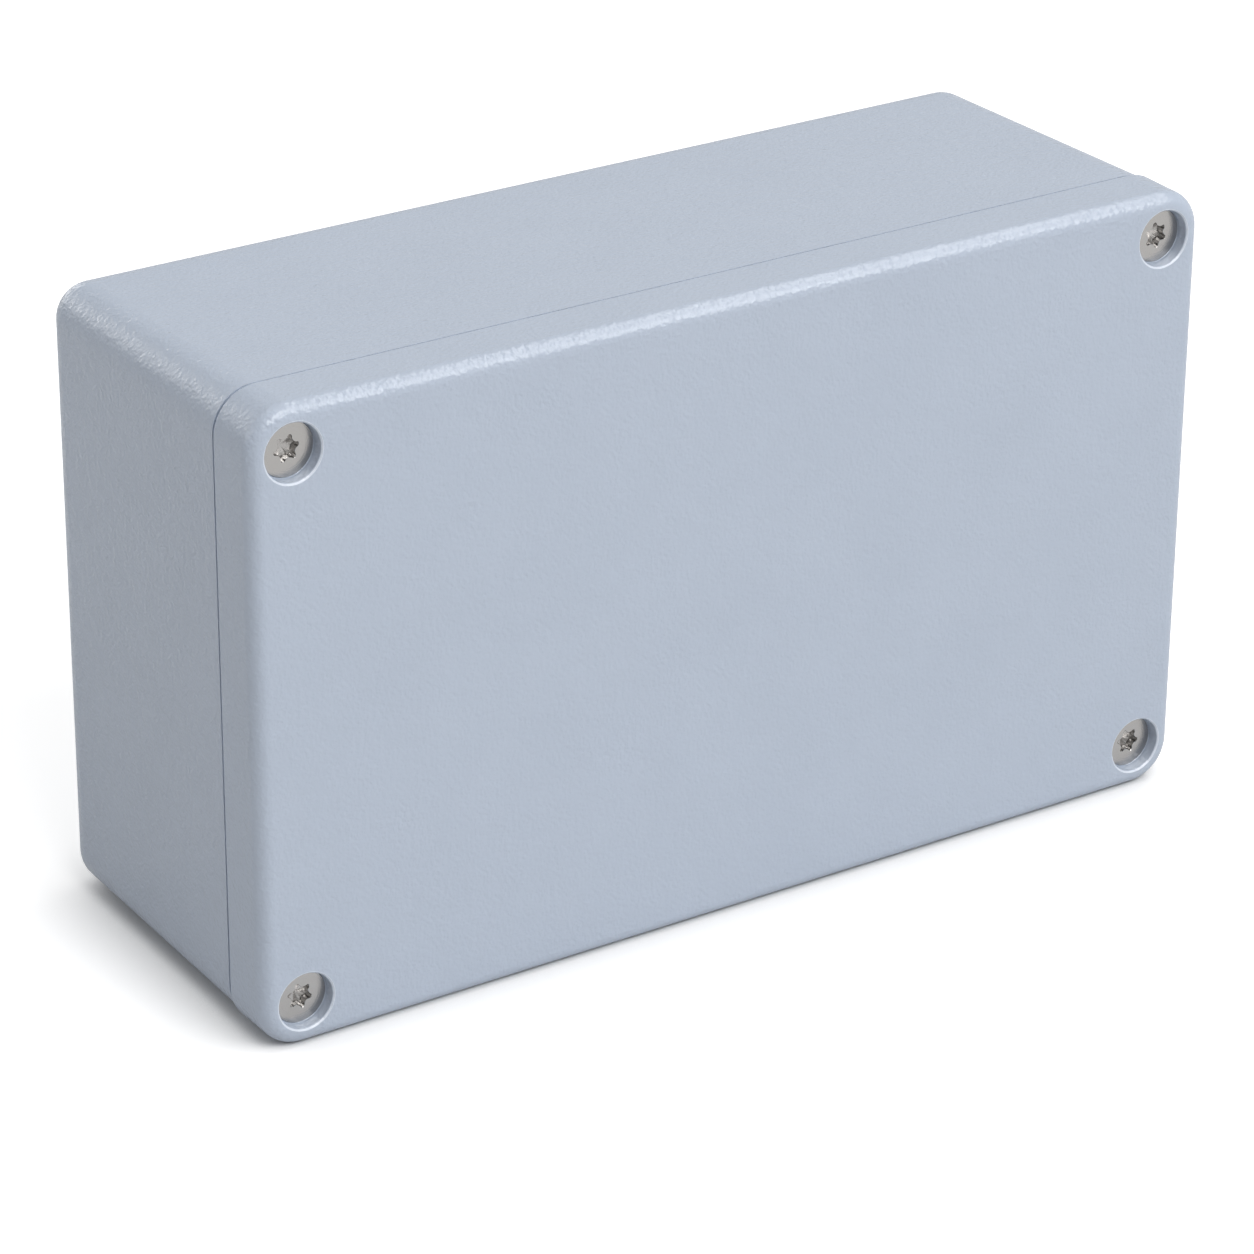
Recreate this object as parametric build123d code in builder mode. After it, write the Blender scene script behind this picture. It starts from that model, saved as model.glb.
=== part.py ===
from build123d import *
import os

# Die-cast aluminium enclosure, standing on its long narrow side with the lid to the front.
# Millimetres. +X runs along the length, the lid faces -Y, +Z is up, and the origin is the centre
# of the bounding box's bottom.

# Outside of the box. Length and height are those of the lid, which is a little larger than the base.
LENGTH = 220.0
HEIGHT = 133.0
DEPTH = 83.0
LID_DEPTH = 13.0
LID_OVERHANG = 0.5
CORNER_RADIUS = 9.0
FRONT_EDGE_RADIUS = 3.0
BACK_EDGE_RADIUS = 7.0
SEAM_EDGE_RADIUS = 0.4
REBATE_WIDTH = 1.1
REBATE_DEPTH = 0.8
DRAFT = 1.0
LID_DRAFT = 0.5

# Walls and the space inside
WALL = 5.0
FLOOR = 5.0
LID_WALL = 4.5
COLUMN_LENGTH = 16.0
COLUMN_HEIGHT = 26.0
CAVITY_RADIUS = 4.0
FLOOR_RADIUS = 2.5
CEILING_CHAMFER = 1.5
LID_LIP = 1.2

# Seal: a tongue on the base presses a soft cord into a groove of the lid.
GROOVE_INSET = 0.4
GROOVE_WIDTH = 3.0
GROOVE_DEPTH = 3.2
TONGUE_WIDTH = 1.4
TONGUE_HEIGHT = 1.0
GASKET_CLEARANCE = 0.05

# Lid screws, M6 x 20 with a countersunk head and a six-lobe socket
SCREW_SPACING_X = 201.0
SCREW_SPACING_Z = 114.0
SCREW_LENGTH = 20.0
THREAD_RADIUS = 3.0
THREAD_LENGTH = 12.0
THREAD_CLEARANCE = 0.05
NECK_RADIUS = 2.675
HEAD_RADIUS = 5.65
HEAD_RIM = 0.35
POINT_CHAMFER = 0.6
CUP_RADIUS = 1.5
SOCKET_TIP_RADIUS = 2.78
SOCKET_WAIST_RADIUS = 1.98
SOCKET_FLUTE_RADIUS = 1.2
SOCKET_DEPTH = 2.0

# Screw recesses in the lid's face and tapped holes in the base's columns
RECESS_RADIUS = 5.9
RECESS_DEPTH = 2.65
RECESS_CHAMFER = 0.35
CLEARANCE_RADIUS = 3.3
TAPPED_DEPTH = 15.0
TAPPED_CHAMFER = 0.5

# Four holes through the back, reached from the front beside the lid screws
MOUNT_SPACING_X = 197.0
MOUNT_SPACING_Z = 90.0
MOUNT_RADIUS = 3.25
MOUNT_WEB = 8.0
CHANNEL_RADIUS = 6.0

# Bosses on the floor: four for an inner plate, and one for an earth wire at the left end
PLATE_SPACING_X = 150.0
PLATE_SPACING_Z = 92.0
PLATE_BOSS_RADIUS = 4.5
PLATE_BOSS_HEIGHT = 6.0
PLATE_TAP_RADIUS = 2.0
EARTH_X = -97.5
EARTH_BOSS_RADIUS = 5.5
EARTH_BOSS_HEIGHT = 12.0
EARTH_TAP_RADIUS = 3.0
BOSS_TAP_MARGIN = 3.0

# Worked out from the above
BASE_LENGTH = LENGTH - 2 * LID_OVERHANG
BASE_HEIGHT = HEIGHT - 2 * LID_OVERHANG
BASE_DEPTH = DEPTH - LID_DEPTH
BASE_CORNER_RADIUS = CORNER_RADIUS - LID_OVERHANG
CAVITY_LENGTH = BASE_LENGTH - 2 * WALL
CAVITY_HEIGHT = BASE_HEIGHT - 2 * WALL
CAVITY_DEPTH = BASE_DEPTH - FLOOR
FRONT_Y = -DEPTH / 2
SEAM_Y = FRONT_Y + LID_DEPTH
BACK_Y = DEPTH / 2
FLOOR_Y = BACK_Y - FLOOR
HEAD_Y = FRONT_Y + RECESS_DEPTH
NECK_START = HEAD_RIM + HEAD_RADIUS - NECK_RADIUS
TONGUE_INSET = GROOVE_INSET + (GROOVE_WIDTH - TONGUE_WIDTH) / 2
CONE_START = HEAD_RIM - (RECESS_RADIUS - HEAD_RADIUS)


def face_plane(y):
    """The plane parallel to the lid's face at depth y, drawn as it is seen from the front."""
    return Plane(origin=(0, y, HEIGHT / 2), x_dir=(1, 0, 0), z_dir=(0, -1, 0))


def cavity_outline(grow):
    """The rim of the inner space, grown outwards: a rectangle stepped in round the screw columns."""
    with BuildSketch(mode=Mode.PRIVATE) as outline:
        Rectangle(CAVITY_LENGTH, CAVITY_HEIGHT)
        with GridLocations(CAVITY_LENGTH, CAVITY_HEIGHT, 2, 2):
            Rectangle(2 * COLUMN_LENGTH, 2 * COLUMN_HEIGHT, mode=Mode.SUBTRACT)
        fillet(outline.vertices(), CAVITY_RADIUS)
        if grow:
            offset(amount=grow, mode=Mode.REPLACE)
    return outline.sketch


def band(inset, width):
    """A closed strip that follows the rim, from inset outwards."""
    with BuildSketch(mode=Mode.PRIVATE) as strip:
        add(cavity_outline(inset + width))
        add(cavity_outline(inset), mode=Mode.SUBTRACT)
    return strip.sketch


# Base: a deep cast tub with thick corner columns. A shallow rebate round its rim makes the seam a dark
# line behind the lid's overhang.
with BuildPart() as base:
    with BuildSketch(face_plane(SEAM_Y)):
        RectangleRounded(BASE_LENGTH, BASE_HEIGHT, BASE_CORNER_RADIUS)
    extrude(amount=-BASE_DEPTH, taper=DRAFT)
    fillet(base.faces().sort_by(Axis.Y)[-1].edges(), BACK_EDGE_RADIUS)
    with BuildSketch(face_plane(SEAM_Y)):
        RectangleRounded(BASE_LENGTH, BASE_HEIGHT, BASE_CORNER_RADIUS)
        RectangleRounded(
            BASE_LENGTH - 2 * REBATE_DEPTH,
            BASE_HEIGHT - 2 * REBATE_DEPTH,
            BASE_CORNER_RADIUS - REBATE_DEPTH,
            mode=Mode.SUBTRACT,
        )
    extrude(amount=-REBATE_WIDTH, mode=Mode.SUBTRACT)

    with BuildSketch(face_plane(SEAM_Y)):
        add(cavity_outline(0))
    extrude(amount=-CAVITY_DEPTH, taper=DRAFT, mode=Mode.SUBTRACT)
    floor_face = base.faces().filter_by(Axis.Y).sort_by(Axis.Y)[-2]
    fillet(floor_face.edges(), FLOOR_RADIUS)

    with BuildSketch(face_plane(SEAM_Y)):
        add(band(TONGUE_INSET, TONGUE_WIDTH))
    extrude(amount=TONGUE_HEIGHT)

    with BuildSketch(face_plane(FLOOR_Y)):
        with GridLocations(PLATE_SPACING_X, PLATE_SPACING_Z, 2, 2):
            Circle(PLATE_BOSS_RADIUS)
    extrude(amount=PLATE_BOSS_HEIGHT)
    with Locations(face_plane(FLOOR_Y - PLATE_BOSS_HEIGHT)):
        with GridLocations(PLATE_SPACING_X, PLATE_SPACING_Z, 2, 2):
            Hole(PLATE_TAP_RADIUS, depth=PLATE_BOSS_HEIGHT + FLOOR - BOSS_TAP_MARGIN)

    with BuildSketch(face_plane(FLOOR_Y)):
        with Locations((EARTH_X, 0)):
            Circle(EARTH_BOSS_RADIUS)
            Rectangle(CAVITY_LENGTH / 2 + EARTH_X, 2 * EARTH_BOSS_RADIUS, align=(Align.MAX, Align.CENTER))
    extrude(amount=EARTH_BOSS_HEIGHT)
    with Locations(face_plane(FLOOR_Y - EARTH_BOSS_HEIGHT)):
        with Locations((EARTH_X, 0)):
            Hole(EARTH_TAP_RADIUS, depth=EARTH_BOSS_HEIGHT + FLOOR - BOSS_TAP_MARGIN)

    with Locations(face_plane(SEAM_Y)):
        with GridLocations(SCREW_SPACING_X, SCREW_SPACING_Z, 2, 2):
            CounterSinkHole(
                THREAD_RADIUS, THREAD_RADIUS + TAPPED_CHAMFER, depth=TAPPED_DEPTH, counter_sink_angle=90
            )
        with GridLocations(MOUNT_SPACING_X, MOUNT_SPACING_Z, 2, 2):
            CounterBoreHole(
                MOUNT_RADIUS, CHANNEL_RADIUS, BASE_DEPTH - MOUNT_WEB, depth=BASE_DEPTH
            )
base.part.label = "base"

# Lid: a shallow cast cover, hollow underneath, with the seal's groove in its rim
with BuildPart() as lid:
    with BuildSketch(face_plane(SEAM_Y)):
        RectangleRounded(LENGTH, HEIGHT, CORNER_RADIUS)
    extrude(amount=LID_DEPTH, taper=LID_DRAFT)
    fillet(lid.faces().sort_by(Axis.Y)[0].edges(), FRONT_EDGE_RADIUS)
    fillet(lid.faces().sort_by(Axis.Y)[-1].edges(), SEAM_EDGE_RADIUS)

    with BuildSketch(face_plane(SEAM_Y)):
        add(cavity_outline(-LID_LIP))
    extrude(amount=LID_DEPTH - LID_WALL, taper=DRAFT, mode=Mode.SUBTRACT)
    ceiling_face = lid.faces().filter_by(Axis.Y).sort_by(Axis.Y)[1]
    chamfer(ceiling_face.edges(), CEILING_CHAMFER)

    with BuildSketch(face_plane(SEAM_Y)):
        add(band(GROOVE_INSET, GROOVE_WIDTH))
    extrude(amount=GROOVE_DEPTH, mode=Mode.SUBTRACT)

    with Locations(face_plane(HEAD_Y + CONE_START)):
        with GridLocations(SCREW_SPACING_X, SCREW_SPACING_Z, 2, 2):
            CounterSinkHole(CLEARANCE_RADIUS, RECESS_RADIUS, depth=LID_DEPTH, counter_sink_angle=90)
    with Locations(face_plane(FRONT_Y)):
        with GridLocations(SCREW_SPACING_X, SCREW_SPACING_Z, 2, 2):
            CounterSinkHole(
                RECESS_RADIUS, RECESS_RADIUS + RECESS_CHAMFER, depth=RECESS_DEPTH, counter_sink_angle=90
            )
lid.part.label = "lid"

# Gasket: one soft cord that fills the bottom of the groove
with BuildPart() as gasket:
    with BuildSketch(face_plane(SEAM_Y - TONGUE_HEIGHT)):
        add(band(GROOVE_INSET + GASKET_CLEARANCE, GROOVE_WIDTH - 2 * GASKET_CLEARANCE))
    extrude(amount=GROOVE_DEPTH - TONGUE_HEIGHT)
gasket.part.label = "gasket"


def lid_screw(x, z):
    """One lid screw. Its head's top is at x and z in its recess, and its point is towards the back."""
    head_top = Plane(origin=(x, HEAD_Y, HEIGHT / 2 + z), x_dir=(1, 0, 0), z_dir=(0, 1, 0))
    half_section = Plane(origin=head_top.origin, x_dir=(1, 0, 0), z_dir=(0, 0, 1))
    thread_radius = THREAD_RADIUS - THREAD_CLEARANCE
    thread_start = SCREW_LENGTH - THREAD_LENGTH
    with BuildPart() as screw:
        with BuildSketch(half_section):
            with BuildLine():
                Polyline(
                    (0, 0),
                    (HEAD_RADIUS, 0),
                    (HEAD_RADIUS, HEAD_RIM),
                    (NECK_RADIUS, NECK_START),
                    (NECK_RADIUS, thread_start),
                    (thread_radius, thread_start + thread_radius - NECK_RADIUS),
                    (thread_radius, SCREW_LENGTH - POINT_CHAMFER),
                    (thread_radius - POINT_CHAMFER, SCREW_LENGTH),
                    (CUP_RADIUS, SCREW_LENGTH),
                    (0, SCREW_LENGTH - CUP_RADIUS),
                    close=True,
                )
            make_face()
        revolve(axis=Axis(head_top.origin, (0, 1, 0)))
        with BuildSketch(head_top):
            Circle(SOCKET_TIP_RADIUS)
            with PolarLocations(SOCKET_WAIST_RADIUS + SOCKET_FLUTE_RADIUS, 6, start_angle=30):
                Circle(SOCKET_FLUTE_RADIUS, mode=Mode.SUBTRACT)
        extrude(amount=SOCKET_DEPTH, mode=Mode.SUBTRACT)
    return screw.part


lid_screws = {
    "lid_screw_top_left": lid_screw(-SCREW_SPACING_X / 2, SCREW_SPACING_Z / 2),
    "lid_screw_top_right": lid_screw(SCREW_SPACING_X / 2, SCREW_SPACING_Z / 2),
    "lid_screw_bottom_left": lid_screw(-SCREW_SPACING_X / 2, -SCREW_SPACING_Z / 2),
    "lid_screw_bottom_right": lid_screw(SCREW_SPACING_X / 2, -SCREW_SPACING_Z / 2),
}

os.makedirs("parts", exist_ok=True)
export_step(base.part, "parts/base.step")
export_step(lid.part, "parts/lid.step")
export_step(gasket.part, "parts/gasket.step")
for name, screw in lid_screws.items():
    screw.label = name
    export_step(screw, f"parts/{name}.step")
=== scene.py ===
"""Aluminium project box: the finish of its castings, its lid screws, its seal, and the stage it stands on."""

from math import atan2, cos, pi, radians, sin, sqrt, tau

import bmesh
import bpy
from bpy.props import FloatProperty, FloatVectorProperty, PointerProperty
from bpy.types import Operator, Panel, PropertyGroup
from mathutils import Matrix, Vector


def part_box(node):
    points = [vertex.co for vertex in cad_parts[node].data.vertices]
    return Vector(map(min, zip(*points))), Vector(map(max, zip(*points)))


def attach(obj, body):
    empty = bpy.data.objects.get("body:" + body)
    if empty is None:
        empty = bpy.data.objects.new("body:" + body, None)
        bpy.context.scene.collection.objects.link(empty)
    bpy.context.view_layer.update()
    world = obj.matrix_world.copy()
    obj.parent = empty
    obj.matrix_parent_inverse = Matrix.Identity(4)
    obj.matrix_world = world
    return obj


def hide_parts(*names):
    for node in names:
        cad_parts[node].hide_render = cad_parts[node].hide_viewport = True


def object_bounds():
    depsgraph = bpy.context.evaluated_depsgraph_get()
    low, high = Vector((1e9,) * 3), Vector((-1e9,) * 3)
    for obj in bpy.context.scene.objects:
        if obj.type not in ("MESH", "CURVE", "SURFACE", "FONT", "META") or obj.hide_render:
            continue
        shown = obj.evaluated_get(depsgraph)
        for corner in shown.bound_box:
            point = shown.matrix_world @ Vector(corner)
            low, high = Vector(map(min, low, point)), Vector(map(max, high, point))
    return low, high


bl_info = {
    "name": "Aluminium Project Box",
    "version": (1, 0, 0),
    "blender": (4, 5, 0),
    "location": "View3D > Sidebar > Project Box",
    "description": "Finishes the castings of a die-cast enclosure and makes its screws, seal and stage",
    "category": "Add Mesh",
}

MM = 0.001
BODY = "root"

# Pieces of the frame
CASTINGS = ("base", "lid")
SEAL = "gasket"
SCREWS = ("lid_screw_top_left", "lid_screw_top_right", "lid_screw_bottom_left", "lid_screw_bottom_right")

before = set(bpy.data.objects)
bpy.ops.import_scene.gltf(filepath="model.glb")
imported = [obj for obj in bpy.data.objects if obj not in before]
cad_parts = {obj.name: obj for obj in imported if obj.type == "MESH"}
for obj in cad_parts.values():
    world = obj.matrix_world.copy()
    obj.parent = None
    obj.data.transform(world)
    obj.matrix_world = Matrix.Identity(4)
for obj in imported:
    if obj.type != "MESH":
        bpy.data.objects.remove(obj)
cad_low, cad_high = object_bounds()
screw_low, screw_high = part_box(SCREWS[0])

# The camera stands where the photograph was taken from: in front, to the left and above
CAMERA_PLACE = Vector((-0.5084, -0.7701, 0.4875))
CAMERA_TURN = radians(-33.4)
CAMERA_HEIGHT_ANGLE = radians(25.56)
CAMERA_ROLL = radians(0.42)
CAMERA_LENS = 144.12
SENSOR_WIDTH = 36.0

# Lid screw, beyond what the frame gives
HEAD_RIM = 0.35 * MM
HEAD_EDGE_BREAK = 0.12 * MM
NECK_DIAMETER = 5.35 * MM
THREAD_START = 8.0 * MM
THREAD_RUN_OUT = 0.6 * MM
POINT_CHAMFER = 0.6 * MM
POINT_CUP_RADIUS = 1.5 * MM
POINT_CUP_DEPTH = 0.9 * MM
SOCKET_TIP_RADIUS = 2.78 * MM
SOCKET_WAIST_RADIUS = 1.98 * MM
SOCKET_TIP_ROUND = 0.46 * MM
SOCKET_FLUTE_ROUND = 1.2 * MM
SOCKET_DEPTH = 2.0 * MM
SOCKET_EDGE_BREAK = 0.1 * MM
SOCKET_CONE_DEPTH = 0.5 * MM
SOCKET_LOBES = 6
SCREW_STEPS = 144
THREAD_STEPS = 48
AXIS_DISTANCE = "axis_distance"

# A metric thread's depth, and the flats at its root and crest, as shares of its pitch
THREAD_DEPTH = 0.6134
ROOT_FLAT = 1 / 4
CREST_FLAT = 1 / 8

# Where each screw's socket came to rest when it was tightened
SCREW_TURNS = (radians(11), radians(38), radians(-17), radians(52))

# Sharper edges than this stay sharp when a screw is shaded smooth
SHARP_ANGLE = radians(28)

# How close two points are when they are merged, and how close to a height or radius, or to a cutting plane, a
# point is when it counts as on it
MERGE_DISTANCE = 0.0005 * MM
PLACE_TOLERANCE = 0.001 * MM
CUT_TOLERANCE = 0.000001 * MM

# The coat's specular level seen straight on and along the surface, and the facings between which it falls
COAT_SPECULAR = (0.5, 0.05)
COAT_FACINGS = (0.3, 0.95)

# The seal's skin
SEAL_COLOUR = "#1B1B1C"
SEAL_GRAIN_WIDTH = 0.4 * MM
SEAL_GRAIN_HEIGHT = 0.01 * MM

# A mix node's colour sockets
MIX_A = 6
MIX_B = 7
MIX_RESULT = 2

# Lip of a screw recess, where a highlight is painted: its distance from the screw's axis, and how far it
# reaches below the lid's face
LIP_RADIUS = 6.15 * MM
LIP_DEPTH = 0.5 * MM

# Softboxes: the direction to each from the box's middle, how far off it is, its width and length, and the way
# that its length runs
UPWARDS = (0.0, 0.0, 1.0)
BACKWARDS = (0.0, 1.0, 0.0)
SOFTBOXES = {
    "key": ((0.0, -0.6, 0.62), 3.0, (1.8, 1.5), UPWARDS),
    "strip": ((0.55, -0.17, 0.82), 3.0, (0.68, 3.6), BACKWARDS),
    "edge": ((0.53, -0.68, 0.5), 3.0, (0.75, 1.35), BACKWARDS),
    "top": ((-0.05, 0.1, 1.0), 2.0, (1.5, 1.5), BACKWARDS),
    "left": ((-0.85, 0.35, 0.4), 2.0, (1.2, 1.0), UPWARDS),
    "rim": ((-0.42, 0.82, 0.36), 1.5, (0.6, 0.6), UPWARDS),
    "back": ((-0.05, 1.0, 0.1), 3.0, (2.0, 1.4), UPWARDS),
}
FLOOR_SIZE = 8.0

# How far the painted shadow on the floor at the box's foot reaches, and the open share of the sky where it
# starts and ends
CONTACT_REACH = 25 * MM
CONTACT_SHARES = (0.27, 0.86)

# The share of the floor's glow that reflections show, which makes it just white there
GLOW_IN_MIRRORS = 0.4


def linear(hex_colour):
    """The linear red, green and blue of an sRGB hex colour."""
    shares = [int(hex_colour[i : i + 2], 16) / 255 for i in (1, 3, 5)]
    return tuple(c / 12.92 if c <= 0.04045 else ((c + 0.055) / 1.055) ** 2.4 for c in shares)


def add_node(tree, kind, inputs=None, **settings):
    """One node of this kind, with its settings and socket values. A socket given as a value is linked."""
    node = tree.nodes.new(kind)
    for name, value in settings.items():
        setattr(node, name, value)
    for socket, value in (inputs or {}).items():
        if isinstance(value, bpy.types.NodeSocket):
            tree.links.new(value, node.inputs[socket])
        else:
            node.inputs[socket].default_value = value
    return node


def new_material(name, viewport_colour):
    """An empty node material and its tree."""
    material = bpy.data.materials.new(name)
    material.use_nodes = True
    material.node_tree.nodes.clear()
    material.diffuse_color = (*viewport_colour, 1.0)
    return material, material.node_tree


class CastingSettings(PropertyGroup):
    """What a user would change about the two castings."""

    coat_colour: FloatVectorProperty(
        name="Coat colour",
        description="Light grey blue of the powder coat",
        subtype="COLOR",
        size=3,
        min=0.0,
        max=1.0,
        default=linear("#B7C1D0"),
    )
    cloud_colour: FloatVectorProperty(
        name="Cloud colour",
        description="Slightly darker patches, where the coat lies a little thinner",
        subtype="COLOR",
        size=3,
        min=0.0,
        max=1.0,
        default=linear("#B2BCCB"),
    )
    cloud_width: FloatProperty(
        name="Cloud width",
        description="From one such patch to the next",
        unit="LENGTH",
        default=16.0 * MM,
    )
    coat_roughness: FloatProperty(
        name="Coat roughness",
        description="Semi-gloss powder coat, from 0, a mirror, to 1, dull",
        subtype="FACTOR",
        min=0.0,
        max=1.0,
        default=0.2,
    )
    peel_width: FloatProperty(
        name="Orange peel width",
        description="From one swell of the coat to the next",
        unit="LENGTH",
        default=3.0 * MM,
    )
    peel_height: FloatProperty(
        name="Orange peel height",
        description="How far the coat's swells rise",
        unit="LENGTH",
        default=0.08 * MM,
    )
    grain_width: FloatProperty(
        name="Grain width",
        description="Across one of the small lumps that the melted powder leaves",
        unit="LENGTH",
        default=0.9 * MM,
    )
    grain_height: FloatProperty(
        name="Grain height",
        description="How far those lumps rise",
        unit="LENGTH",
        default=0.17 * MM,
    )
    # Painted highlight: a pale line painted round the lip of each screw recess, for the light that the lip
    # catches
    lip_highlight_width: FloatProperty(
        name="Lip highlight width",
        description="Across the painted highlight round each screw recess",
        unit="LENGTH",
        default=0.34 * MM,
    )
    lip_highlight_colour: FloatVectorProperty(
        name="Lip highlight colour",
        description="Pale colour painted round each recess as the highlight that its lip catches",
        subtype="COLOR",
        size=3,
        min=0.0,
        max=1.0,
        default=linear("#D8DFEA"),
    )


class ScrewSettings(PropertyGroup):
    """What a user would change about the lid screws."""

    head_diameter: FloatProperty(
        name="Head diameter",
        description="Across the countersunk head",
        unit="LENGTH",
        default=screw_high.x - screw_low.x,
    )
    length: FloatProperty(
        name="Length",
        description="From the head's flat top to the point",
        unit="LENGTH",
        default=screw_high.y - screw_low.y,
    )
    thread_diameter: FloatProperty(
        name="Thread diameter",
        description="Across the thread's crests",
        unit="LENGTH",
        default=6.0 * MM,
    )
    pitch: FloatProperty(
        name="Thread pitch",
        description="From one crest to the next",
        unit="LENGTH",
        default=1.0 * MM,
    )
    steel_colour: FloatVectorProperty(
        name="Steel colour",
        description="Neutral grey of stainless steel",
        subtype="COLOR",
        size=3,
        min=0.0,
        max=1.0,
        default=linear("#B0AEAC"),
    )
    # Painted shade: the socket's grey is darker than the head's, for the shade in its hollow
    shaded_socket_colour: FloatVectorProperty(
        name="Shaded socket colour",
        description="Darker grey painted in the socket as its shade, where the punch also left it duller",
        subtype="COLOR",
        size=3,
        min=0.0,
        max=1.0,
        default=linear("#7F7E7D"),
    )
    ring_width: FloatProperty(
        name="Ring width",
        description="From one turning mark to the next",
        unit="LENGTH",
        default=0.16 * MM,
    )
    ring_height: FloatProperty(
        name="Ring height",
        description="How far the turning marks rise",
        unit="LENGTH",
        default=0.012 * MM,
    )


class StageSettings(PropertyGroup):
    """What a user would change about the light.

    A level is the share of light that a white card facing the lamp gives back.
    """

    sky_level: FloatProperty(
        name="Sky level",
        description="Even light from all round",
        default=0.1,
    )
    key_level: FloatProperty(
        name="Key level",
        description="Wide softbox in front and above",
        default=0.57,
    )
    strip_level: FloatProperty(
        name="Strip level",
        description="Long softbox above on the right, which draws the bright line along the upper edge",
        default=0.34,
    )
    edge_level: FloatProperty(
        name="Edge level",
        description="Softbox in front on the right, which carries that line on to the lid's face",
        default=0.2,
    )
    top_level: FloatProperty(
        name="Top level",
        description="Wide softbox overhead",
        default=0.125,
    )
    left_level: FloatProperty(
        name="Left level",
        description="Wide softbox on the left, level with the box's back",
        default=0.14,
    )
    rim_level: FloatProperty(
        name="Rim level",
        description="Small softbox behind on the left",
        default=0.075,
    )
    back_level: FloatProperty(
        name="Back level",
        description="Low softbox behind, which lights the side that faces away",
        default=0.2,
    )
    floor_glow: FloatProperty(
        name="Floor glow",
        description="What lifts the floor to white for the eye and in reflections, away from the box's foot",
        default=0.62,
    )
    floor_colour: FloatVectorProperty(
        name="Floor colour",
        description="White paper that the box stands on",
        subtype="COLOR",
        size=3,
        min=0.0,
        max=1.0,
        default=linear("#DCDCDC"),
    )


def recess_lip_highlights(tree, place, width):
    """One on the lip of each screw recess in the lid's face, where a highlight is painted, and nought
    elsewhere.
    """
    middle = (cad_low + cad_high) / 2
    axis = (screw_low + screw_high) / 2
    centred = add_node(tree, "ShaderNodeVectorMath", {0: place, 1: middle}, operation="SUBTRACT")
    folded = add_node(tree, "ShaderNodeVectorMath", {0: centred.outputs["Vector"]}, operation="ABSOLUTE")
    parts = add_node(tree, "ShaderNodeSeparateXYZ", {"Vector": folded.outputs["Vector"]})
    across = add_node(tree, "ShaderNodeCombineXYZ", {"X": parts.outputs["X"], "Z": parts.outputs["Z"]})
    from_axis = add_node(
        tree,
        "ShaderNodeVectorMath",
        {0: across.outputs["Vector"], 1: (abs(axis.x - middle.x), 0.0, abs(axis.z - middle.z))},
        operation="DISTANCE",
    )
    on_lip = add_node(
        tree,
        "ShaderNodeMath",
        {0: from_axis.outputs["Value"], 1: LIP_RADIUS, 2: width / 2},
        operation="COMPARE",
    )
    depth = add_node(tree, "ShaderNodeSeparateXYZ", {"Vector": place}).outputs["Y"]
    in_face = add_node(tree, "ShaderNodeMath", {0: depth, 1: cad_low.y + LIP_DEPTH}, operation="LESS_THAN")
    lip_highlights = add_node(
        tree,
        "ShaderNodeMath",
        {0: on_lip.outputs["Value"], 1: in_face.outputs["Value"]},
        operation="MULTIPLY",
    )
    return lip_highlights.outputs["Value"]


def powder_coat(settings):
    """Polyester powder coat, sprayed and baked on die-cast aluminium.

    The melted powder leaves a semi-gloss skin with slight swells and small lumps, which break up the
    highlight along the rounded edges into grains. The lumps hide one another at a glancing angle, so the
    coat doesn't flare along its outline. Its thickness varies a little, which clouds the colour. A pale line
    is painted round the lip of each screw recess, a painted highlight for the light that the lip catches.
    """
    material, tree = new_material("powder_coat_on_die_cast_aluminium", settings.coat_colour)
    place = add_node(tree, "ShaderNodeTexCoord").outputs["Object"]
    peel = add_node(
        tree, "ShaderNodeTexNoise", {"Vector": place, "Scale": 1 / settings.peel_width, "Detail": 0.0}
    )
    grain = add_node(
        tree, "ShaderNodeTexNoise", {"Vector": place, "Scale": 1 / settings.grain_width, "Detail": 1.0}
    )
    swells = add_node(
        tree, "ShaderNodeMath", {0: peel.outputs["Fac"], 1: settings.peel_height}, operation="MULTIPLY"
    )
    skin = add_node(
        tree,
        "ShaderNodeMath",
        {0: grain.outputs["Fac"], 1: settings.grain_height, 2: swells.outputs["Value"]},
        operation="MULTIPLY_ADD",
    )
    relief = add_node(tree, "ShaderNodeBump", {"Height": skin.outputs["Value"], "Distance": 1.0})
    clouds = add_node(
        tree, "ShaderNodeTexNoise", {"Vector": place, "Scale": 1 / settings.cloud_width, "Detail": 3.0}
    )
    tint = add_node(
        tree,
        "ShaderNodeMix",
        {
            "Factor": clouds.outputs["Fac"],
            MIX_A: (*settings.coat_colour, 1.0),
            MIX_B: (*settings.cloud_colour, 1.0),
        },
        data_type="RGBA",
    )
    # Painted highlight: the lip of each screw recess takes a pale colour
    lip_highlights = recess_lip_highlights(tree, place, settings.lip_highlight_width)
    colour = add_node(
        tree,
        "ShaderNodeMix",
        {"Factor": lip_highlights, MIX_A: tint.outputs[MIX_RESULT], MIX_B: (*settings.lip_highlight_colour, 1.0)},
        data_type="RGBA",
    )
    facing = add_node(tree, "ShaderNodeLayerWeight", {"Blend": 0.5}).outputs["Facing"]
    full, least = COAT_SPECULAR
    start, end = COAT_FACINGS
    gloss = add_node(
        tree,
        "ShaderNodeMapRange",
        {"Value": facing, "From Min": start, "From Max": end, "To Min": full, "To Max": least},
    )
    coat = add_node(
        tree,
        "ShaderNodeBsdfPrincipled",
        {
            "Base Color": colour.outputs[MIX_RESULT],
            "Roughness": settings.coat_roughness,
            "IOR": 1.5,
            "Specular IOR Level": gloss.outputs["Result"],
            "Normal": relief.outputs["Normal"],
        },
    )
    add_node(tree, "ShaderNodeOutputMaterial", {"Surface": coat.outputs["BSDF"]})
    return material


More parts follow.
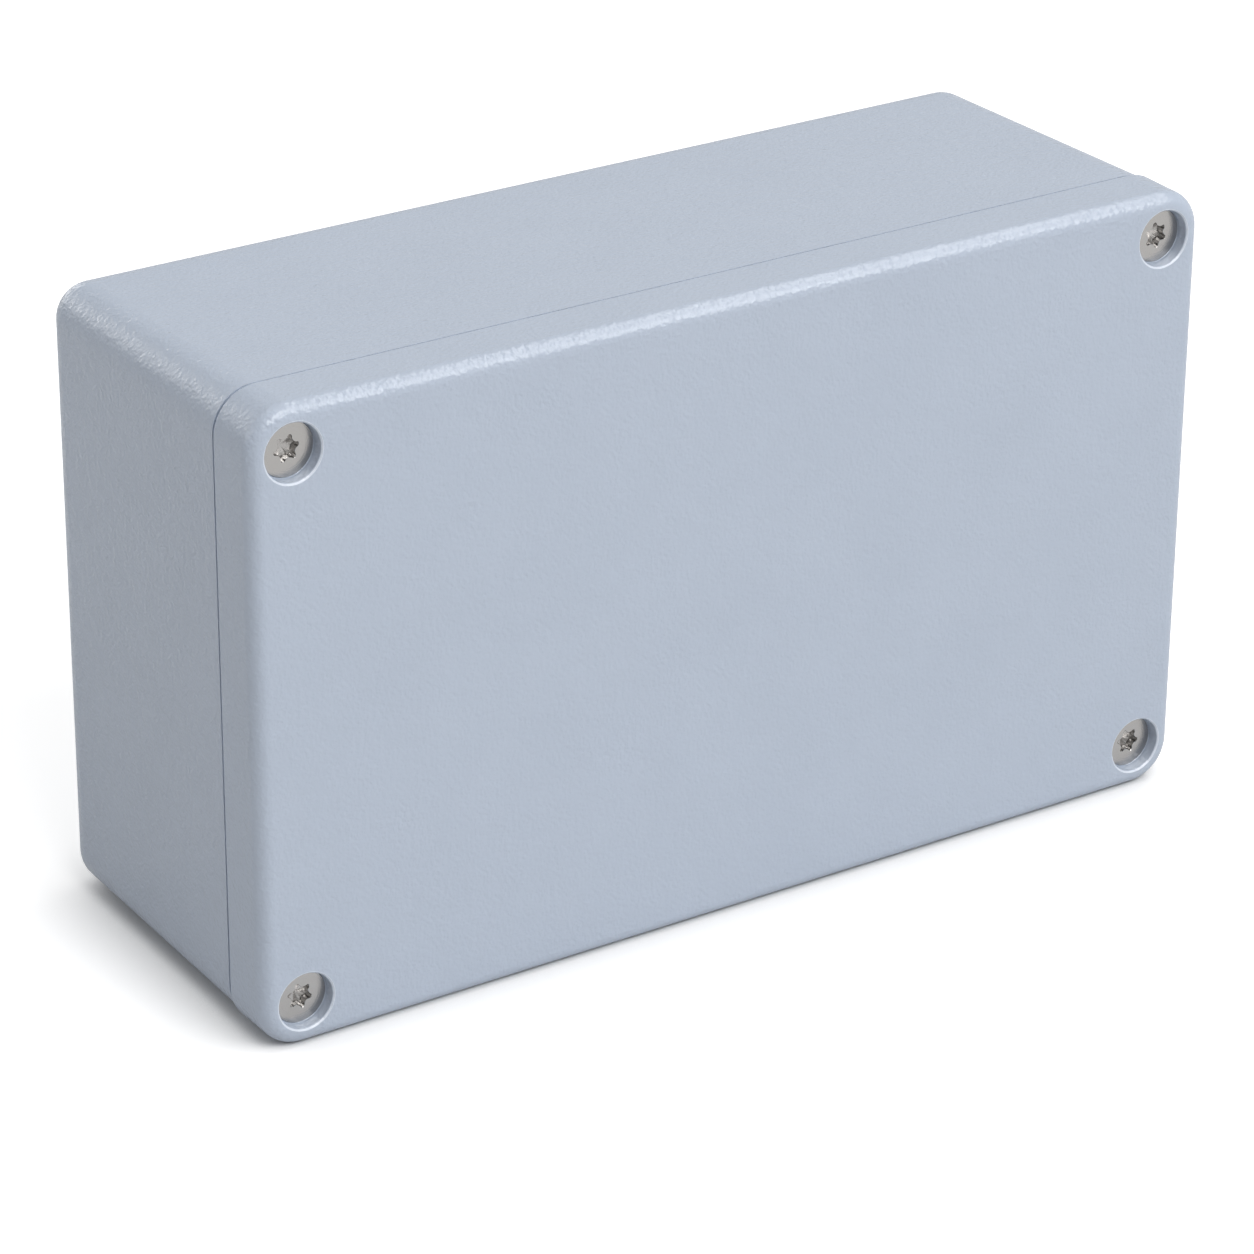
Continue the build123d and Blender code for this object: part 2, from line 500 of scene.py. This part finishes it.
def seal_rubber():
    """Black silicone cord, extruded, which gives a dull dark line."""
    colour = linear(SEAL_COLOUR)
    material, tree = new_material("extruded_silicone_rubber", colour)
    place = add_node(tree, "ShaderNodeTexCoord").outputs["Object"]
    grain = add_node(tree, "ShaderNodeTexNoise", {"Vector": place, "Scale": 1 / SEAL_GRAIN_WIDTH})
    skin = add_node(tree, "ShaderNodeBump", {"Height": grain.outputs["Fac"], "Distance": SEAL_GRAIN_HEIGHT})
    rubber = add_node(
        tree,
        "ShaderNodeBsdfPrincipled",
        {"Base Color": (*colour, 1.0), "Roughness": 0.7, "IOR": 1.43, "Normal": skin.outputs["Normal"]},
    )
    add_node(tree, "ShaderNodeOutputMaterial", {"Surface": rubber.outputs["BSDF"]})
    return material


def turned_steel(settings):
    """Stainless steel, faced in a lathe.

    The tool leaves fine rings round the screw's axis, which draw reflections out from the middle into a fan.
    """
    material, tree = new_material("turned_stainless_steel", settings.steel_colour)
    from_axis = add_node(tree, "ShaderNodeAttribute", attribute_name=AXIS_DISTANCE).outputs["Fac"]
    rings = add_node(
        tree,
        "ShaderNodeTexNoise",
        {"W": from_axis, "Scale": 1 / settings.ring_width, "Detail": 1.0},
        noise_dimensions="1D",
    )
    relief = add_node(
        tree, "ShaderNodeBump", {"Height": rings.outputs["Fac"], "Distance": settings.ring_height}
    )
    steel = add_node(
        tree,
        "ShaderNodeBsdfPrincipled",
        {
            "Base Color": (*settings.steel_colour, 1.0),
            "Metallic": 1.0,
            "Roughness": 0.22,
            "Normal": relief.outputs["Normal"],
        },
    )
    add_node(tree, "ShaderNodeOutputMaterial", {"Surface": steel.outputs["BSDF"]})
    return material


def socket_steel_with_painted_shade(settings):
    """Stainless steel, cold formed by a punch, which leaves the socket duller than the head; its darker
    colour is painted shade in the socket's hollow.
    """
    material, tree = new_material("cold_formed_stainless_steel", settings.shaded_socket_colour)
    steel = add_node(
        tree,
        "ShaderNodeBsdfPrincipled",
        {"Base Color": (*settings.shaded_socket_colour, 1.0), "Metallic": 1.0, "Roughness": 0.38},
    )
    add_node(tree, "ShaderNodeOutputMaterial", {"Surface": steel.outputs["BSDF"]})
    return material


def give_materials(piece, *materials):
    """The piece has these materials in its slots, in this order."""
    piece.data.materials.clear()
    for material in materials:
        piece.data.materials.append(material)


def lobe_radius(angle):
    """How far the six-lobed socket reaches from the screw's axis in this direction.

    Its outline runs from the round tip of a lobe into the hollow flute beside it, and the two arcs touch.
    """
    tip_centre = SOCKET_TIP_RADIUS - SOCKET_TIP_ROUND
    flute_centre = SOCKET_WAIST_RADIUS + SOCKET_FLUTE_ROUND
    half_lobe = pi / SOCKET_LOBES
    from_tip = abs((angle + half_lobe) % (2 * half_lobe) - half_lobe)
    from_flute = half_lobe - from_tip
    share = SOCKET_TIP_ROUND / (SOCKET_TIP_ROUND + SOCKET_FLUTE_ROUND)
    touch_along = tip_centre + share * (flute_centre * cos(half_lobe) - tip_centre)
    touch_across = share * flute_centre * sin(half_lobe)
    if from_tip < atan2(touch_across, touch_along):
        room = SOCKET_TIP_ROUND**2 - (tip_centre * sin(from_tip)) ** 2
        return tip_centre * cos(from_tip) + sqrt(max(room, 0.0))
    room = SOCKET_FLUTE_ROUND**2 - (flute_centre * sin(from_flute)) ** 2
    return flute_centre * cos(from_flute) - sqrt(max(room, 0.0))


def spin_profile(bm, points, steps, turns=1, rise=0.0):
    """Spins a line through (radius, height) points about the Z axis, so many turns, with this rise a turn."""
    verts = [bm.verts.new((radius, 0.0, height)) for radius, height in points]
    edges = [bm.edges.new(pair) for pair in zip(verts, verts[1:])]
    bmesh.ops.spin(
        bm,
        geom=verts + edges,
        cent=(0.0, 0.0, 0.0),
        axis=(0.0, 0.0, 1.0),
        dvec=(0.0, 0.0, rise / steps),
        angle=tau * turns,
        steps=steps * turns,
        use_merge=rise == 0.0,
    )


def ring_at(bm, height):
    """The open edges at this height."""
    return [
        edge
        for edge in bm.edges
        if edge.is_boundary and all(abs(vert.co.z - height) < PLACE_TOLERANCE for vert in edge.verts)
    ]


def lid_screw_mesh(settings):
    """A countersunk screw along -Z with its flat top at the origin."""
    head = settings.head_diameter / 2
    neck = NECK_DIAMETER / 2
    crest = settings.thread_diameter / 2
    pitch = settings.pitch
    root = crest - THREAD_DEPTH * pitch
    cone_foot = -(HEAD_RIM + head - neck)
    thread_top = -THREAD_START
    thread_end = POINT_CHAMFER - settings.length
    bm = bmesh.new()

    # Head, socket and neck, from the socket's middle out and down
    spin_profile(
        bm,
        (
            (0.0, -SOCKET_DEPTH - SOCKET_CONE_DEPTH),
            (SOCKET_TIP_RADIUS - SOCKET_EDGE_BREAK, -SOCKET_DEPTH),
            (SOCKET_TIP_RADIUS - SOCKET_EDGE_BREAK, -SOCKET_EDGE_BREAK),
            (SOCKET_TIP_RADIUS, 0.0),
            (head - HEAD_EDGE_BREAK, 0.0),
            (head, -HEAD_EDGE_BREAK),
            (head, -HEAD_RIM),
            (neck, cone_foot),
            (neck, thread_top + THREAD_RUN_OUT),
        ),
        SCREW_STEPS,
    )
    for vert in bm.verts:
        in_outline = 0.0 < vert.co.xy.length < SOCKET_TIP_RADIUS + PLACE_TOLERANCE
        if in_outline and vert.co.z > -SOCKET_DEPTH - PLACE_TOLERANCE:
            scale = lobe_radius(atan2(vert.co.y, vert.co.x)) / SOCKET_TIP_RADIUS
            vert.co.x *= scale
            vert.co.y *= scale

    # Thread: one pitch of its outline, wound down the shank and cut square at both ends
    turns = round((thread_top - thread_end) / pitch) + 2
    flank = pitch * (1 - ROOT_FLAT - CREST_FLAT) / 2
    spin_profile(
        bm,
        (
            (root, thread_end - pitch),
            (root, thread_end - pitch * (1 - ROOT_FLAT)),
            (crest, thread_end - flank - pitch * CREST_FLAT),
            (crest, thread_end - flank),
            (root, thread_end),
        ),
        THREAD_STEPS,
        turns,
        pitch,
    )
    bmesh.ops.remove_doubles(bm, verts=bm.verts, dist=MERGE_DISTANCE)
    for height, side in ((thread_top, 1.0), (thread_end, -1.0)):
        wound = [face for face in bm.faces if face.calc_center_median().z < thread_top + THREAD_RUN_OUT / 2]
        near = {part for face in wound for part in (*face.verts, *face.edges, face)}
        bmesh.ops.bisect_plane(
            bm,
            geom=list(near),
            dist=CUT_TOLERANCE,
            plane_co=(0.0, 0.0, height),
            plane_no=(0.0, 0.0, side),
            clear_outer=True,
        )

    # Point: a chamfer under the thread and a cup in the middle
    spin_profile(
        bm,
        (
            (root, -settings.length),
            (POINT_CUP_RADIUS, -settings.length),
            (0.0, POINT_CUP_DEPTH - settings.length),
        ),
        THREAD_STEPS,
    )
    bmesh.ops.remove_doubles(bm, verts=bm.verts, dist=MERGE_DISTANCE)
    for above, below in ((thread_top + THREAD_RUN_OUT, thread_top), (thread_end, -settings.length)):
        bmesh.ops.bridge_loops(bm, edges=ring_at(bm, above) + ring_at(bm, below))
    bmesh.ops.recalc_face_normals(bm, faces=bm.faces)

    # The second material, with its painted shade, goes to the socket, and the first one's rings follow the
    # distance from the axis
    for face in bm.faces:
        middle = face.calc_center_median()
        in_socket = middle.xy.length < SOCKET_TIP_RADIUS and middle.z > -SOCKET_DEPTH - SOCKET_CONE_DEPTH
        face.material_index = int(in_socket and middle.z < -SOCKET_EDGE_BREAK / 4)
    from_axis = bm.verts.layers.float.new(AXIS_DISTANCE)
    for vert in bm.verts:
        vert[from_axis] = vert.co.xy.length
    mesh = bpy.data.meshes.new("lid_screw")
    bm.to_mesh(mesh)
    bm.free()
    return mesh


def add_piece(name, mesh, materials, node):
    """A piece with this mesh that rides with the box, stands for a node and takes a slot's finish."""
    piece = bpy.data.objects.new(name, mesh)
    bpy.context.scene.collection.objects.link(piece)
    give_materials(piece, *materials)
    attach(piece, BODY)
    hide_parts(node)
    return piece


class BOX_OT_coat_castings(Operator):
    """Gives the base and the lid their powder coat"""

    bl_idname = "project_box.coat_castings"
    bl_label = "Coat Castings"

    def execute(self, context):
        coat = powder_coat(context.scene.box_castings)
        for name in CASTINGS:
            give_materials(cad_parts[name], coat)
        return {"FINISHED"}


class BOX_OT_finish_seal(Operator):
    """Gives the seal under the lid its rubber"""

    bl_idname = "project_box.finish_seal"
    bl_label = "Finish Seal"

    def execute(self, context):
        give_materials(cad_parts[SEAL], seal_rubber())
        return {"FINISHED"}


class BOX_OT_make_screws(Operator):
    """Makes the four countersunk lid screws, with their threads and sockets"""

    bl_idname = "project_box.make_screws"
    bl_label = "Make Lid Screws"

    def execute(self, context):
        settings = context.scene.box_screws
        steels = (turned_steel(settings), socket_steel_with_painted_shade(settings))
        pattern = lid_screw_mesh(settings)
        for name, turn in zip(SCREWS, SCREW_TURNS):
            low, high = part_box(name)
            seat = Vector(((low.x + high.x) / 2, low.y, (low.z + high.z) / 2))
            mesh = pattern.copy()
            mesh.name = name + "_steel"
            mesh.transform(
                Matrix.Translation(seat)
                @ Matrix.Rotation(radians(90), 4, "X")
                @ Matrix.Rotation(turn, 4, "Z")
            )
            mesh.shade_smooth()
            mesh.set_sharp_from_angle(angle=SHARP_ANGLE)
            add_piece(name + "_steel", mesh, steels, name)
        bpy.data.meshes.remove(pattern)
        return {"FINISHED"}


def add_softbox(name, target, direction, distance, size, along, level):
    """A lamp that faces the target. Its power gives a card there that faces it this level."""
    lamp = bpy.data.lights.new(name, "AREA")
    lamp.shape = "RECTANGLE"
    lamp.size, lamp.size_y = size
    lamp.energy = level * (pi * distance) ** 2
    lamp_object = bpy.data.objects.new(name, lamp)
    toward = Vector(direction).normalized()
    across = Vector(along).cross(toward).normalized()
    lamp_object.visible_camera = False
    lamp_object.matrix_world = (
        Matrix.Translation(target + toward * distance)
        @ Matrix((across, toward.cross(across), toward)).transposed().to_4x4()
    )
    bpy.context.scene.collection.objects.link(lamp_object)


def seen_rays(tree, in_mirrors=1.0):
    """One for what the camera sees straight or through glass, in_mirrors for reflections, and else nought."""
    rays = add_node(tree, "ShaderNodeLightPath")
    straight = add_node(
        tree,
        "ShaderNodeMath",
        {0: rays.outputs["Is Camera Ray"], 1: rays.outputs["Is Transmission Ray"]},
        operation="MAXIMUM",
    )
    mirrored = add_node(
        tree, "ShaderNodeMath", {0: rays.outputs["Is Glossy Ray"], 1: in_mirrors}, operation="MULTIPLY"
    )
    seen = add_node(
        tree,
        "ShaderNodeMath",
        {0: straight.outputs["Value"], 1: mirrored.outputs["Value"]},
        operation="MAXIMUM",
    )
    return seen.outputs["Value"]


def white_paper(settings):
    """Matt white paper that keeps the box's shadow, and looks overlit except close to the box's foot, where a
    painted contact shadow deepens it.
    """
    material, tree = new_material("matt_white_paper", settings.floor_colour)
    paper = add_node(tree, "ShaderNodeBsdfDiffuse", {"Color": (*settings.floor_colour, 1.0)})
    # Painted shadow: the glow fades out where ambient occlusion finds the box close by, which darkens the
    # floor at its foot beyond the lamps' own shadow
    open_sky = add_node(tree, "ShaderNodeAmbientOcclusion", {"Distance": CONTACT_REACH}, samples=8)
    foot, clear = CONTACT_SHARES
    glow_past_painted_shadow = add_node(
        tree,
        "ShaderNodeMapRange",
        {"Value": open_sky.outputs["AO"], "From Min": foot, "From Max": clear, "To Max": settings.floor_glow},
    )
    lift = add_node(
        tree,
        "ShaderNodeMath",
        {0: glow_past_painted_shadow.outputs["Result"], 1: seen_rays(tree, GLOW_IN_MIRRORS)},
        operation="MULTIPLY",
    )
    glow = add_node(tree, "ShaderNodeEmission", {"Strength": lift.outputs["Value"]})
    both = add_node(tree, "ShaderNodeAddShader", {0: paper.outputs["BSDF"], 1: glow.outputs["Emission"]})
    add_node(tree, "ShaderNodeOutputMaterial", {"Surface": both.outputs["Shader"]})
    return material


def white_room(level):
    """White to the eye, in reflections and through glass, and an even light of this level on all else."""
    world = bpy.data.worlds.new("white_room")
    world.use_nodes = True
    tree = world.node_tree
    tree.nodes.clear()
    light = add_node(tree, "ShaderNodeBackground", {"Strength": level})
    white = add_node(tree, "ShaderNodeBackground", {"Strength": 1.0})
    mixed = add_node(
        tree,
        "ShaderNodeMixShader",
        {0: seen_rays(tree), 1: light.outputs["Background"], 2: white.outputs["Background"]},
    )
    add_node(tree, "ShaderNodeOutputWorld", {"Surface": mixed.outputs["Shader"]})
    bpy.context.scene.world = world


class BOX_OT_set_stage(Operator):
    """Sets the floor, the lights and the camera"""

    bl_idname = "project_box.set_stage"
    bl_label = "Set Stage"

    def execute(self, context):
        settings = context.scene.box_stage
        bm = bmesh.new()
        bmesh.ops.create_grid(bm, x_segments=1, y_segments=1, size=FLOOR_SIZE / 2)
        mesh = bpy.data.meshes.new("floor")
        bm.to_mesh(mesh)
        bm.free()
        floor = bpy.data.objects.new("floor", mesh)
        context.scene.collection.objects.link(floor)
        give_materials(floor, white_paper(settings))

        middle = (cad_low + cad_high) / 2
        white_room(settings.sky_level)
        for name, place in SOFTBOXES.items():
            add_softbox(name + "_softbox", middle, *place, getattr(settings, name + "_level"))

        lens = bpy.data.cameras.new("camera")
        lens.lens = CAMERA_LENS
        lens.sensor_width = SENSOR_WIDTH
        camera = bpy.data.objects.new("camera", lens)
        camera.matrix_world = (
            Matrix.Translation(CAMERA_PLACE)
            @ Matrix.Rotation(CAMERA_TURN, 4, "Z")
            @ Matrix.Rotation(radians(90) - CAMERA_HEIGHT_ANGLE, 4, "X")
            @ Matrix.Rotation(CAMERA_ROLL, 4, "Z")
        )
        context.scene.collection.objects.link(camera)
        context.scene.camera = camera
        context.scene.view_settings.view_transform = "Standard"
        return {"FINISHED"}


class BOX_PT_panel(Panel):
    """The box's settings and steps in the 3D view's sidebar"""

    bl_idname = "BOX_PT_panel"
    bl_label = "Project Box"
    bl_space_type = "VIEW_3D"
    bl_region_type = "UI"
    bl_category = "Project Box"

    def draw(self, context):
        for group in GROUPS:
            settings = getattr(context.scene, group)
            section = self.layout.box()
            for name in settings.bl_rna.properties.keys():
                if name not in ("rna_type", "name"):
                    section.prop(settings, name)
        for operator in OPERATORS:
            self.layout.operator(operator.bl_idname)


GROUPS = {
    "box_castings": CastingSettings,
    "box_screws": ScrewSettings,
    "box_stage": StageSettings,
}
OPERATORS = (BOX_OT_coat_castings, BOX_OT_finish_seal, BOX_OT_make_screws, BOX_OT_set_stage)


def register():
    """Registers the classes, and puts the settings on the scene."""
    for group in (*GROUPS.values(), *OPERATORS, BOX_PT_panel):
        bpy.utils.register_class(group)
    for name, group in GROUPS.items():
        setattr(bpy.types.Scene, name, PointerProperty(type=group))


def unregister():
    """Takes the settings off the scene, and the classes out of Blender."""
    for name in GROUPS:
        delattr(bpy.types.Scene, name)
    for group in (BOX_PT_panel, *OPERATORS, *GROUPS.values()):
        bpy.utils.unregister_class(group)


def main():
    """Makes the box's looks."""
    register()
    bpy.ops.project_box.coat_castings()
    bpy.ops.project_box.finish_seal()
    bpy.ops.project_box.make_screws()
    bpy.ops.project_box.set_stage()


if __name__ == "__main__":
    main()
